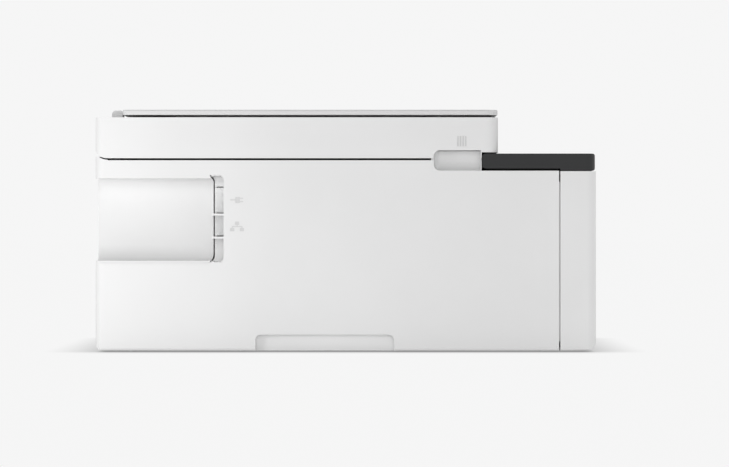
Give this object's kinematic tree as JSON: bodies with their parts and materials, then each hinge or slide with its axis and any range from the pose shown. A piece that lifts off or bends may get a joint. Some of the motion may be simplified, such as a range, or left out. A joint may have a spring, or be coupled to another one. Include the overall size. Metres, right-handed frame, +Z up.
{
  "type": "inkjet printer",
  "caption": "Flat desktop inkjet printer with flatbed scanner, dark control panel, front paper cassette, output tray and side port recess.",
  "frame": {"origin": "on the table, under the middle of the machine's box at rest", "axes": "+Z up, the front with the control panel faces -Y, +X is the user's right"},
  "size_m": [0.403, 0.364, 0.1761],
  "materials": {
    "body_plastic": "fine moulded texture, warm light grey",
    "lid_plastic": "fine moulded texture, a shade greyer than the covers",
    "panel_plastic": "fine moulded texture, charcoal",
    "dark_plastic": "fine moulded texture, charcoal",
    "grey_plastic": "fine moulded texture, mid grey",
    "white_plastic": "satin, natural white",
    "button_plastic": "satin, dark grey",
    "gloss_black": "polished",
    "display_screen": "dark screen behind a clear window",
    "sheet_steel": "zinc plated sheet",
    "polished_steel": "ground and polished",
    "brass_gear": "machined",
    "circuit_board": "solder mask over glass fibre",
    "clear_glass": "clear float glass",
    "white_foam": "white backing sheet on foam",
    "black_rubber": "matt",
    "roller_rubber": "ground matt rubber on a steel shaft"
  },
  "bodies": {
    "base": {"base_tray": "body_plastic", "left_side_cover": "body_plastic", "right_side_cover": "body_plastic", "rear_cover": "body_plastic", "front_bezel": "body_plastic", "top_deck": "dark_plastic", "output_chute": "dark_plastic", "control_panel": "panel_plastic", "panel_window": "gloss_black", "display": "display_screen", "engine_frame": "sheet_steel", "platen": "dark_plastic", "guide_shaft": "polished_steel", "carriage_belt": "black_rubber", "drive_motors": "sheet_steel", "maintenance_station": "grey_plastic", "main_board": "circuit_board", "port_sockets": "polished_steel", "power_supply": "grey_plastic", "power_inlet": "gloss_black", "rubber_feet": "black_rubber", "case_screws": "polished_steel", "rear_paper_guide": "grey_plastic", "scanner_hinges": "sheet_steel", "transfer_belt": "black_rubber"},
    "scanner": {"scanner_cover": "body_plastic", "lid_hinge_blocks": "lid_plastic", "scanner_base": "dark_plastic", "platen_glass": "clear_glass", "scan_rail": "polished_steel"},
    "scan_head": {"scan_bar": "dark_plastic", "scan_carrier": "grey_plastic"},
    "scan_pinion": {"scan_pinion": "white_plastic"},
    "lid": {"lid_shell": "lid_plastic", "lid_pad": "white_foam"},
    "carriage": {"carriage": "dark_plastic", "ink_cartridges": "gloss_black"},
    "drive_pulley": {"drive_pulley": "white_plastic"},
    "idler_pulley": {"idler_pulley": "white_plastic"},
    "feed_roller": {"feed_roller": "roller_rubber"},
    "eject_roller": {"eject_roller": "roller_rubber"},
    "motor_pinion": {"motor_pinion": "brass_gear"},
    "star_wheels": {"star_wheels": "polished_steel"},
    "cassette": {"cassette_tray": "grey_plastic", "cassette_front": "body_plastic", "cassette_bed": "grey_plastic"},
    "left_paper_guide": {"left_paper_guide": "dark_plastic"},
    "right_paper_guide": {"right_paper_guide": "dark_plastic"},
    "guide_pinion": {"guide_pinion": "white_plastic"},
    "length_guide": {"length_guide": "dark_plastic"},
    "output_tray": {"output_tray": "dark_plastic"},
    "tray_extension": {"tray_extension": "dark_plastic"},
    "tray_stop": {"tray_stop": "dark_plastic"},
    "rear_door": {"rear_door": "body_plastic"},
    "pickup_arm": {"pickup_arm": "dark_plastic"},
    "pickup_roller": {"pickup_roller": "roller_rubber"},
    "power_button": {"power_button": "button_plastic"},
    "back_button": {"back_button": "button_plastic"},
    "stop_button": {"stop_button": "button_plastic"},
    "start_button": {"start_button": "button_plastic"}
  },
  "joints": [
    {"name": "scanner_hinge", "type": "hinge", "parent": "base", "child": "scanner", "pos_m": [0, 0.1722, 0.1539], "axis": [-1, 0, 0], "range_deg": [0, 38]},
    {"name": "lid_hinge", "type": "hinge", "parent": "scanner", "child": "lid", "pos_m": [0, 0.1659, 0.1733], "axis": [-1, 0, 0], "range_deg": [0, 88]},
    {"name": "scan_slide", "type": "slide", "parent": "scanner", "child": "scan_head", "axis": [1, 0, 0], "range_m": [0, 0.3]},
    {"name": "scan_pinion_spin", "type": "hinge", "parent": "scan_head", "child": "scan_pinion", "pos_m": [-0.15394, 0.048, 0.146], "axis": [0, 0, 1], "continuous": true},
    {"name": "carriage_slide", "type": "slide", "parent": "base", "child": "carriage", "axis": [-1, 0, 0], "range_m": [0, 0.274]},
    {"name": "drive_pulley_spin", "type": "hinge", "parent": "base", "child": "drive_pulley", "pos_m": [-0.168, 0.062, 0.107], "axis": [0, 0, 1], "continuous": true},
    {"name": "idler_pulley_spin", "type": "hinge", "parent": "base", "child": "idler_pulley", "pos_m": [0.168, 0.062, 0.107], "axis": [0, 0, 1], "continuous": true},
    {"name": "feed_roller_spin", "type": "hinge", "parent": "base", "child": "feed_roller", "pos_m": [0, 0.022, 0.072], "axis": [1, 0, 0], "continuous": true},
    {"name": "motor_pinion_spin", "type": "hinge", "parent": "base", "child": "motor_pinion", "pos_m": [0, 0.022, 0.046], "axis": [1, 0, 0], "continuous": true},
    {"name": "eject_roller_spin", "type": "hinge", "parent": "base", "child": "eject_roller", "pos_m": [0, -0.06, 0.072], "axis": [1, 0, 0], "continuous": true},
    {"name": "star_wheels_spin", "type": "hinge", "parent": "base", "child": "star_wheels", "pos_m": [0, -0.06, 0.0842], "axis": [1, 0, 0], "continuous": true},
    {"name": "cassette_slide", "type": "slide", "parent": "base", "child": "cassette", "axis": [0, -1, 0], "range_m": [0, 0.22]},
    {"name": "left_guide_slide", "type": "slide", "parent": "cassette", "child": "left_paper_guide", "axis": [1, 0, 0], "range_m": [0, 0.056]},
    {"name": "right_guide_slide", "type": "slide", "parent": "cassette", "child": "right_paper_guide", "axis": [-1, 0, 0], "range_m": [0, 0.056]},
    {"name": "guide_pinion_spin", "type": "hinge", "parent": "cassette", "child": "guide_pinion", "pos_m": [0, -0.012, 0.009], "axis": [0, 0, 1], "range_deg": [-5, 410]},
    {"name": "length_guide_slide", "type": "slide", "parent": "cassette", "child": "length_guide", "axis": [0, 1, 0], "range_m": [0, 0.124]},
    {"name": "output_tray_slide", "type": "slide", "parent": "base", "child": "output_tray", "axis": [0, -1, 0], "range_m": [0, 0.062]},
    {"name": "tray_extension_slide", "type": "slide", "parent": "output_tray", "child": "tray_extension", "axis": [0, -1, 0], "range_m": [0, 0.07]},
    {"name": "tray_stop_flip", "type": "hinge", "parent": "tray_extension", "child": "tray_stop", "pos_m": [0, -0.176, 0.0598], "axis": [1, 0, 0], "range_deg": [0, 95]},
    {"name": "rear_door_hinge", "type": "hinge", "parent": "base", "child": "rear_door", "pos_m": [0, 0.1785, 0.062], "axis": [-1, 0, 0], "range_deg": [0, 80]},
    {"name": "pickup_arm_swing", "type": "hinge", "parent": "base", "child": "pickup_arm", "pos_m": [0, 0.05, 0.062], "axis": [1, 0, 0], "range_deg": [0, 12]},
    {"name": "pickup_roller_spin", "type": "hinge", "parent": "pickup_arm", "child": "pickup_roller", "pos_m": [0, 0.095, 0.036], "axis": [1, 0, 0], "continuous": true},
    {"name": "power_button_press", "type": "slide", "parent": "base", "child": "power_button", "axis": [0, 0, -1], "range_m": [0, 0.0008], "stiffness_N_per_m": 400, "springref_m": -0.001},
    {"name": "back_button_press", "type": "slide", "parent": "base", "child": "back_button", "axis": [0, 0, -1], "range_m": [0, 0.0008], "stiffness_N_per_m": 400, "springref_m": -0.001},
    {"name": "stop_button_press", "type": "slide", "parent": "base", "child": "stop_button", "axis": [0, 0, -1], "range_m": [0, 0.0008], "stiffness_N_per_m": 400, "springref_m": -0.001},
    {"name": "start_button_press", "type": "slide", "parent": "base", "child": "start_button", "axis": [0, 0, -1], "range_m": [0, 0.0008], "stiffness_N_per_m": 400, "springref_m": -0.001}
  ],
  "couplings": [
    {"joint": "scan_pinion_spin", "follows": "scan_slide", "rad_per_m": -125},
    {"joint": "drive_pulley_spin", "follows": "carriage_slide", "rad_per_m": -169.49},
    {"joint": "idler_pulley_spin", "follows": "carriage_slide", "rad_per_m": -169.49},
    {"joint": "motor_pinion_spin", "follows": "feed_roller_spin", "ratio": -3.3333},
    {"joint": "eject_roller_spin", "follows": "feed_roller_spin", "ratio": 1},
    {"joint": "star_wheels_spin", "follows": "feed_roller_spin", "ratio": -1.2857},
    {"joint": "right_guide_slide", "follows": "left_guide_slide", "ratio": 1},
    {"joint": "guide_pinion_spin", "follows": "left_guide_slide", "rad_per_m": 125}
  ]
}
